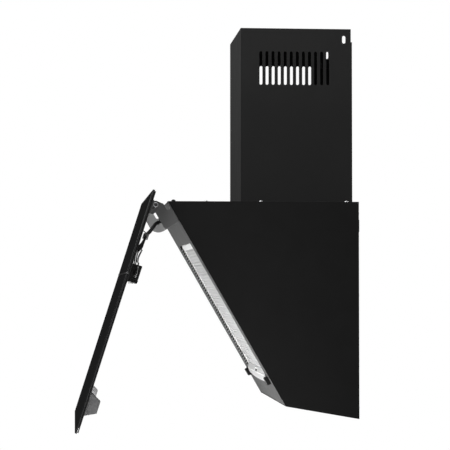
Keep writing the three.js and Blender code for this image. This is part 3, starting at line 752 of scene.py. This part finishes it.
def make_gland():
    """The mains gland: a domed nut with ribs for the fingers."""
    node, rib_count = "mains_gland", 12
    nut = [(4, 0), (7.4, 0), (7.4, 6.3), (12, 6.3), (12, 11), (11, 12), (9.6, 12.3), (9.2, 20), (8.2, 21.6),
           (4.4, 22), (4, 21.6)]
    stand_in(from_bmesh(f"{node}_domed", turned(nut, 48), foot_of(node)), node)
    bm = bmesh.new()
    for i in range(rib_count):
        corners = box_mesh(bm, mm(11.2, -0.8, 7), mm(12.4, 0.8, 10.8))
        spin = Matrix.Rotation(2 * math.pi * i / rib_count, 3, "Z")
        bmesh.ops.rotate(bm, verts=corners, cent=(0, 0, 0), matrix=spin)
    finish_piece(from_bmesh(f"{node}_ribs", bm, foot_of(node)), "hood", SLOT_OF[node])


# ------------------------------------------------------------------ grease filter

MESH_PITCH = 4.4 * MM
STRAND_THICK = 0.35 * MM
STRAND_LEAN = 0.55  # how far a strand's flat side turns out of the sheet
STRAND_LAP = 0.3  # how far a strand runs on past its bond, as a share of its width
STRAND_SECTION = ((-1, -1), (1, -1), (1, 1), (-1, 1))
STRAND_FACES = ((3, 2, 1, 0), (4, 5, 6, 7), (0, 1, 5, 4), (1, 2, 6, 5), (2, 3, 7, 6), (3, 0, 4, 7))


def strands(name, low, high, level, pitch, width, ripple, ripple_pitch, phase=0.0):
    """Expanded metal: slanting strands that meet at bonds on a diamond grid, between two (x, down)
    corners of the front face, around a level behind it that ripples down the sheet."""
    half_x, half_down = pitch, pitch / 2
    columns = int((high[0] - low[0]) / half_x)
    rows = int((high[1] - low[1]) / half_down)
    first_x = (low[0] + high[0] - columns * half_x) / 2
    first_down = (low[1] + high[1] - rows * half_down) / 2
    out = (FACE.to_3x3() @ Vector((0, -1, 0))).normalized()
    points, faces = [], []

    def bond(i, j):
        down = first_down + j * half_down
        depth = level + ripple * math.sin(2 * math.pi * down / ripple_pitch + phase)
        return FACE @ Vector((first_x + i * half_x, depth, -down))

    for i in range(columns):
        for j in range(rows + 1):
            for step in (-1, 1):
                if (i + j) % 2 or not 0 <= j + step <= rows:
                    continue
                start, end = bond(i, j), bond(i + 1, j + step)
                along = (end - start).normalized()
                flat = (along.cross(out) + out * STRAND_LEAN * step).normalized() * width / 2
                thick = along.cross(flat).normalized() * STRAND_THICK / 2
                lap = along * width * STRAND_LAP
                base = len(points)
                for point in (start - lap, end + lap):
                    points.extend(point + u * flat + v * thick for u, v in STRAND_SECTION)
                faces.extend(tuple(base + k for k in quad) for quad in STRAND_FACES)
    mesh = bpy.data.meshes.new(name)
    mesh.from_pydata(points, [], faces)
    mesh.update()
    return linked(name, mesh)


def make_filter():
    rounded("filter_frame", 0.9 * MM, 3)
    rounded("filter_latch", 0.35 * MM, material="filter_aluminium")
    frame_low, frame_high = box_in("filter_frame", FACE)
    low, high = box_in("filter_mesh", FACE)
    tuck = 0.5 * MM  # the mesh runs on this far under its frame
    front = frame_low.y + 1.7 * MM
    rear = front + 1.6 * MM
    corners = (low.x - tuck, -high.z - tuck), (high.x + tuck, -low.z + tuck)
    weave = strands("filter_mesh_front", *corners, front, MESH_PITCH, 1.15 * MM, 1.3 * MM, 7.4 * MM)
    stand_in(weave, "filter_mesh", "mesh_aluminium")
    inner = strands("filter_mesh_rear", *corners, rear, MESH_PITCH * 1.35, 1.5 * MM, 0.3 * MM, 9 * MM, 1.0)
    finish_piece(inner, "grease_filter", "filter_aluminium", "mesh_aluminium")
    make_crimp_hole_shades(low, high, (frame_low.y + front) / 2)
    make_rivets(frame_low, frame_high)
    foot, half = -frame_low.z, frame_high.x - 4 * MM
    make_pull_lip(foot, half)
    make_foot_ramps(foot, half - 2 * MM)


def make_crimp_hole_shades(low, high, level):
    """Painted shade for crimp holes in the frame's two long inner walls, low.x and high.x, at one level: small
    dark boxes, with no hole cut.
    """
    pitch, half = 6.2 * MM, mm(0.3, 0.6, 1.4)
    bm = bmesh.new()
    for wall in (low.x, high.x):
        for i in range(int((high.z - low.z) / pitch)):
            z = low.z + (i + 0.5) * pitch
            centre = Vector((wall, level, z))
            box_mesh(bm, centre - half, centre + half)
    hole_shades = bevelled(from_bmesh("filter_crimp_hole_shades", bm, FACE), 0.3 * MM)
    finish_piece(hole_shades, "grease_filter", "filter_aluminium", "hole_shade_paint")


def make_rivets(low, high):
    """Flat rivets in the four corners of the filter's frame, whose own corners are low and high."""
    profile = [(0, -0.3), (2.1, -0.3), (2.0, 0.3), (1.4, 0.8), (0, 1.0)]
    half, rows = high.x - 6 * MM, (high.z - 6.5 * MM, low.z + 9 * MM)
    places = [FACE @ seat((x, low.y, z), (0, -1, 0)) for x in (-half, half) for z in rows]
    rivet = mesh_of("rivet", turned(profile, 24))
    add_screws("filter_rivets", rivet, places, "grease_filter", "filter_aluminium")


def make_pull_lip(foot, half):
    """The pull lip: a flange with a bowed edge, over the face and past the frame's foot."""
    stations, reach, bow = 48, 22 * MM, 7 * MM
    bm = bmesh.new()
    rows = []
    for i in range(stations + 1):
        share = 2 * i / stations - 1
        edge = foot + reach - bow * abs(share) ** 3
        start = foot + 3 * MM + 1.5 * MM * share * share
        section = [(0.4, start), (1.5, start), (2.3, start + 2 * MM), (2.4, (start + edge) / 2),
                   (1.9, edge - 2 * MM), (1.1, edge), (0.4, edge - 0.6 * MM)]
        rows.append([bm.verts.new((share * half, -out * MM, -down)) for out, down in section])
    loft(bm, rows)
    lip = bevelled(from_bmesh("filter_pull_lip", bm, FACE), 0.25 * MM)
    finish_piece(lip, "grease_filter", "filter_aluminium", "lip_aluminium")


def make_foot_ramps(foot, half):
    """Two ramps from the frame's foot down to the pull lip, and a plate between them below the latch."""
    plate = 20.6 * MM  # half the width of the plate
    # Points of a ramp's section in mm: below the face, and down from the frame's foot.
    section = ((5.3, -8.5), (-1.8, 0.5), (-1.8, 4), (-0.5, 4), (-0.5, 1.4), (5.3, -6.2))
    bm = bmesh.new()
    for side in (-1, 1):
        rows = [[bm.verts.new((x, level * MM, -foot - down * MM)) for level, down in section]
                for x in sorted((side * plate, side * half))]
        loft(bm, rows)
    box_mesh(bm, (-plate, -2 * MM, -foot - 4 * MM), (plate, -0.5 * MM, -foot - 1.6 * MM))
    ramps = bevelled(from_bmesh("filter_foot_ramps", bm, FACE), 0.25 * MM)
    finish_piece(ramps, "grease_filter", "filter_aluminium")


def make_pocket_ribs_and_shade():
    """Slanting ribs along the two long walls of the filter's pocket, over a dark sheet of painted shade."""
    low, high = box_in("filter_frame", FACE)
    depth, wall = low.y, high.x + 1.5 * MM
    pitch, lean, rib_width, rib_height, margin = 6.2 * MM, 2 * MM, 2.6 * MM, 0.9 * MM, 2 * MM
    for label, side in SIDES:
        bm = bmesh.new()
        x0, x1 = sorted((side * wall, side * (wall - rib_height)))
        for i in range(int((high.z - low.z - lean) / pitch)):
            z = low.z + margin + i * pitch
            for corner in box_mesh(bm, (x0, 0, z), (x1, depth, z + rib_width)):
                corner.co.z += lean * corner.co.y / depth
        ribs = bevelled(from_bmesh(f"pocket_ribs_{label}", bm, FACE), 0.15 * MM, 1)
        finish_piece(ribs, "hood", "liner_grey", "pocket_rib")
        # A thin near-black sheet just inside each wall: painted shade on the pocket wall, behind the ribs.
        bm = bmesh.new()
        x0, x1 = sorted((side * (wall + 0.05 * MM), side * (wall - 0.25 * MM)))
        box_mesh(bm, (x0, 0.2 * MM, low.z), (x1, depth, high.z))
        shade_sheet = from_bmesh(f"pocket_shade_sheet_{label}", bm, FACE)
        finish_piece(shade_sheet, "hood", "liner_grey", "pocket_shade_paint")


# ------------------------------------------------------------------ hinges and catches

PANEL_BACK = box_in("panel_back_plate", PANEL)[1].y  # the panel's rear face, in its own axes


def make_hinges(pan):
    for label, side in SIDES:
        rounded(f"hinge_bracket_{label}", 0.5 * MM, 3)
        rounded(f"panel_arm_{label}", 0.45 * MM, 3)
        make_hinge_pin(f"hinge_pin_{label}", side)
    seat_level = 2.8 * MM  # of the screws on a bracket's or an arm's foot, above what it lies on
    bracket_x, bracket_rows = 222.5 * MM, (-28 * MM, -40 * MM)
    feet = [(side * bracket_x, -seat_level, z) for _, side in SIDES for z in bracket_rows]
    places = [FACE @ seat(foot, (0, -1, 0), 25) for foot in feet]
    add_screws("hinge_foot_screws", pan, places, "hood")
    arm_x, arm_rows = 251.5 * MM, (-11 * MM, 2 * MM)
    feet = [(side * arm_x, PANEL_BACK + seat_level, z) for _, side in SIDES for z in arm_rows]
    places = [PANEL @ seat(foot, (0, 1, 0), 10) for foot in feet]
    add_screws("panel_arm_screws", pan, places, "front_panel", "bright_steel", "cap_metal")


def make_hinge_pin(node, side):
    """A headed pin with a turned rim round a recess in its outer end, and a dark plug sunk in the recess as
    painted shade.
    """
    low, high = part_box(node)
    tip_in, tip_out = sorted((abs(low.x), abs(high.x)))
    place = seat((side * tip_in, HINGE.y, HINGE.z), (side, 0, 0))
    length = (tip_out - tip_in) / MM
    head = length - 2.5
    profile = [(0, 0), (3.2, 0), (4.6, 1), (4.6, 4.2), (3, 4.2), (3, head),
               (5, head), (5, length - 0.9), (4.7, length - 0.25), (4.2, length),
               (3.6, length - 0.25), (3.3, length - 0.9), (2.6, length - 4), (0, length - 4)]
    stand_in(from_bmesh(f"{node}_turned", turned(profile, 40), place), node)
    # Painted shade: a plug in the dark bracket coat fills most of the recess, so its centre reads dark.
    plug = turned([(0, length - 4.1), (3.2, length - 4.1), (3.3, length - 1.2), (0, length - 1)], 32)
    finish_piece(from_bmesh(f"{node}_plug", plug, place), "front_panel", "bracket_dark")


def make_catches():
    """The two catches on the hood, each with a pair of springs, and their hat brackets on the panel."""
    spring_x, half_width, half_length = 4.4, 0.6, 5.5
    for label, _ in SIDES:
        rounded(f"catch_{label}", 0.6 * MM, 3)
        # each hat bracket takes its own side's tone of painted light and shade
        rounded(f"catch_bracket_{label}", 0.9 * MM, 3, material=f"hat_steel_{label}")
        low, high = box_in(f"catch_{label}", FACE)
        front = Vector(((low.x + high.x) / 2, low.y, (low.z + high.z) / 2))
        bm = bmesh.new()
        for x in (-spring_x, spring_x):
            low_corner = front + mm(x - half_width, -0.15, -half_length)
            box_mesh(bm, low_corner, front + mm(x + half_width, 1, half_length))
        springs = bevelled(from_bmesh(f"catch_spring_{label}", bm, FACE), 0.2 * MM)
        finish_piece(springs, "hood", "zinc_steel")


# ------------------------------------------------------------------ glass panel

def make_panel():
    rounded("glass_upper", 0.9 * MM, 4)
    rounded("glass_lower", 0.9 * MM, 4)
    rounded("panel_back_plate", 0.7 * MM, 3)

    low, high = box_in("panel_trim", PANEL)
    bm = bmesh.new()
    box_mesh(bm, low + mm(4, 0.3, 0), high - mm(4, 0, 0))
    # the trim strip takes the near-black painted reflection in place of a bright metal finish
    stand_in(bevelled(from_bmesh("panel_trim_strip", bm, PANEL), 0.3 * MM), "panel_trim", "trim_painted_reflection")
    boxes = side_boxes(Vector((high.x, low.y, low.z)) - mm(4.2, 0.1, 0.2), high + mm(0, 0.2, 0.2))
    caps = bevelled(from_bmesh("panel_trim_caps", boxes, PANEL), 0.5 * MM, 3)
    finish_piece(caps, "front_panel", "trim_aluminium", "cap_metal")

    # Pale pads on the lower glass corners, put there as a painted highlight for the light the glass corners catch.
    low, high = box_in("glass_lower", PANEL)
    inner = Vector((high.x, low.y, low.z)) + mm(-3, 0.7, 1)
    boxes = side_boxes(inner, Vector((high.x, high.y, low.z)) + mm(-0.05, 0.2, 12))
    highlight_pads = bevelled(from_bmesh("glass_corner_highlight_pads", boxes, PANEL), 0.5 * MM, 3)
    finish_piece(highlight_pads, "front_panel", "trim_aluminium", "lip_aluminium")

    for node in ("glass_upper", "glass_lower"):
        low, high = box_in(node, PANEL)
        boxes = side_boxes(Vector((high.x, low.y, low.z)) + mm(-0.5, 1.5, 0.9), high + mm(0.02, -0.8, -0.9))
        edges = from_bmesh(f"{node}_ground_edges", boxes, PANEL)
        finish_piece(edges, "front_panel", "panel_glass", "glass_edge")


# ------------------------------------------------------------------ control box and lead

def make_control_box():
    rounded("control_box", 0.9 * MM, 3)
    rounded("control_box_cover", 1.1 * MM, 3)
    low, high = box_in("control_box_cover", PANEL)
    inset, sunk = 5 * MM, 0.3 * MM
    corners = [(x, high.y - sunk, z)
               for x in (low.x + inset, high.x - inset) for z in (low.z + inset, high.z - inset)]
    places = [PANEL @ seat(corner, (0, 1, 0), 30) for corner in corners]
    add_screws("control_box_screws", screw_mesh("cover_screw", 2.0, 1.1), places, "front_panel")

    rib_count, rib_pitch, rib_width = 9, 5.5 * MM, 2.2 * MM
    foot, top = low.z + 9 * MM, high.z - 9 * MM
    bm = bmesh.new()
    for i in range(rib_count):
        x = low.x + 20 * MM + i * rib_pitch
        box_mesh(bm, (x, high.y - 0.5 * MM, foot), (x + rib_width, high.y + 0.45 * MM, top))
    ribs = bevelled(from_bmesh("control_box_ribs", bm, PANEL), 0.3 * MM)
    finish_piece(ribs, "front_panel", "black_plastic")
    make_control_window()


def make_control_window():
    """The pale lens on the box's lower side: half a barrel with slightly drawn-in ends."""
    low, high = box_in("control_box_window", PANEL)
    middle, reach, drop, steps = (low.y + high.y) / 2, (high.y - low.y) / 2, high.z - low.z, 10
    angles = [math.pi * k / steps for k in range(steps + 1)]
    bm = bmesh.new()
    rows = []
    for x, size in ((low.x, 0.85), (low.x + 1 * MM, 1), (high.x - 1 * MM, 1), (high.x, 0.85)):
        arc = [(middle + reach * size * math.cos(a), high.z - drop * size * math.sin(a)) for a in angles]
        rows.append([bm.verts.new((x, y, z)) for y, z in arc])
    loft(bm, rows)
    stand_in(from_bmesh("control_box_window_lens", bm, PANEL), "control_box_window")


GROMMET_X, GROMMET_DOWN = -205 * MM, 24 * MM
PLUG_ALONG = Vector((16, -0.4, -4.2)).normalized()  # the connector's direction, in panel axes


def panel_path(points, per_span):
    """A smooth path in the panel's axes through points in mm."""
    return [PANEL @ p for p in smooth_path([mm(*p) for p in points], per_span)]


def make_lead_cable():
    """The cable from the grommet over the hinge to the connector."""
    thin, swell, taper = 3.2 * MM, 0.9 * MM, 0.1
    swell_start = 0.12  # as a share of the cable, like taper
    route = [FACE @ Vector((GROMMET_X, -out * MM, -GROMMET_DOWN)) for out in (-5, 4, 12)]
    route += [PANEL @ mm(*p) for p in (
        (-199, 26.5, -15.5), (-165, 21.7, -27), (-125, 17.1, -37.7), (-95, 13.4, -44.6), (-77, 10.2, -50),
        (-66.4, 9.4, -52.1))]

    def radius(share):
        rising = min(1, max(0, (share - swell_start) / taper))
        falling = min(1, (1 - share) / taper)
        return thin + swell * rising * falling

    cable = tube("lead_cable_jacket", smooth_path(route, 14), radius, 20)
    cable.data.materials.clear()
    cable.data.materials.append(MATERIALS["cable_jacket"])
    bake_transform(cable)
    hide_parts("lead_cable")


def make_grommet():
    """A ribbed rubber grommet, whose neck goes through the front frame."""
    profile = [(3.9, -6), (4.9, -6), (4.9, 0.3), (7, 0.4), (7.1, 1.2), (6.6, 2), (5.6, 2.4), (5.6, 3.6),
               (5.1, 4), (5.4, 4.5), (5.3, 5.6), (4.8, 6), (5.1, 6.5), (4.9, 7.6), (3.9, 8)]
    place = FACE @ seat((GROMMET_X, 0, -GROMMET_DOWN), (0, -1, 0))
    stand_in(from_bmesh("lead_grommet_ribbed", turned(profile, 40), place), "lead_grommet")


def make_connector():
    """The in-line connector with its seam, latch and grip ribs, and the loose tail tied beside it."""
    rounded("lead_connector", 0.7 * MM, 3)
    low, high = box_in("lead_connector", PANEL)
    axes = PANEL @ seat((low + high) / 2, PLUG_ALONG)
    bm = bmesh.new()
    box_mesh(bm, mm(-6.1, -5.5, -1.1), mm(6.1, 5.5, -0.2))
    box_mesh(bm, mm(-2.2, -6.4, -5), mm(2.2, -4.6, 5.5))
    for z in (3.2, 5.0, 6.8):
        box_mesh(bm, mm(-5.9, -5.3, z), mm(5.9, 5.3, z + 0.7))
    detail = bevelled(from_bmesh("lead_connector_latch", bm, axes), 0.2 * MM)
    finish_piece(detail, "front_panel", "grey_plastic")
    route = ((-58, -8, -42), (-58, -3, -43.4), (-58, 0.8, -44.8), (-58, 5.4, -46.6), (-60, 8.3, -49))
    tail = tube("lead_tail", panel_path(route, 8), 1.0 * MM, 12)
    finish_piece(tail, "front_panel", "black_plastic", "cable_jacket")


def make_sleeve():
    """The woven sleeve behind the connector's collar, and the two strands that come out of its end."""
    exits = [mm(-58, 9.2, -54) + PLUG_ALONG * distance for distance in (8.6 * MM, 12 * MM)]
    bends = ((-40, 7.4, -68), (-30, 4.6, -80), (-16, 1.4, -91), (0, 1, -105), (9, 2.6, -114), (11, 3, -120))
    path = [PANEL @ p for p in smooth_path(exits + [mm(*p) for p in bends], 10)]
    cut = 4 * len(path) // 7  # the woven part ends here
    collar_end = 9

    def radius(share):
        """Drawn in behind the collar, and swollen near the open end."""
        bulge = 1.9 * math.exp(-((share - 0.76) / 0.15) ** 2)
        neck = 0.8 * math.exp(-((share - 0.26) / 0.2) ** 2)
        return (3.3 + bulge - neck) * MM

    stand_in(tube("lead_sleeve_woven", path[:cut + 1], radius, 24), "lead_sleeve", "woven_sleeve")
    finish_piece(tube("lead_plug_collar", path[:collar_end], 5 * MM, 24), "front_panel", "grey_plastic")
    panel_x = PANEL.to_3x3() @ Vector((1, 0, 0))
    for tag, shift in (("a", -1.7 * MM), ("b", 1.7 * MM)):
        shifted = [path[k] + heading(path, k).cross(panel_x).normalized() * shift
                   for k in range(cut - 2, len(path))]
        strand = tube(f"lead_sleeve_strand_{tag}", shifted, 1.4 * MM, 14)
        finish_piece(strand, "front_panel", "pale_plastic", f"wire_{tag}")


def make_wires():
    """Three thin wires that wander round each other from the strands to the control box."""
    core = panel_path((
        (-19, 9.2, -86), (-8, 7.8, -93), (20, 5.8, -103.6), (50, 6.2, -114), (86, 7.5, -116.5),
        (96, 8.5, -121), (101, 10, -131), (102.5, 10.8, -140), (99, 9.5, -145.5), (94.5, 6, -145.6),
        (90.4, 5.5, -145.6)), 12)
    up = PANEL.to_3x3() @ Vector((0, 1, 0))
    for index, (tag, offset) in enumerate((("a", 0.35), ("b", 0.85), ("c", 0.6))):
        path = []
        for k, point in enumerate(core):
            share = k / (len(core) - 1)
            ahead = heading(core, k)
            across = ahead.cross(up).normalized()
            other = across.cross(ahead)
            turn = 2 * math.pi * (offset + 0.12 * math.sin(5 * share + index))
            spread = (0.9 + 0.4 * math.sin(math.pi * share) ** 1.5) * MM
            path.append(point + across * spread * math.sin(turn) + other * spread * math.cos(turn))
        wire = tube(f"lead_wire_{tag}", path, 0.85 * MM, 14)
        stands_for = ("lead_wires",) if index == 0 else ()
        finish_piece(wire, "front_panel", "pale_plastic", f"wire_{tag}", stands_for)


# ------------------------------------------------------------------ the scene

bpy.context.scene.view_settings.view_transform = "Standard"
add_camera()
add_world()
add_lights()
add_floor()
paint_cad_nodes()

pan_head = screw_mesh("pan_head", 3.6, 2.2)
make_casing()
make_casing_screws(pan_head)
make_top_bumpers()
make_wall_bolts()
make_lamps()
make_outlet()
make_gland()
make_filter()
make_pocket_ribs_and_shade()
make_hinges(pan_head)
make_catches()
make_panel()
make_control_box()
make_lead_cable()
make_grommet()
make_connector()
make_sleeve()
make_wires()
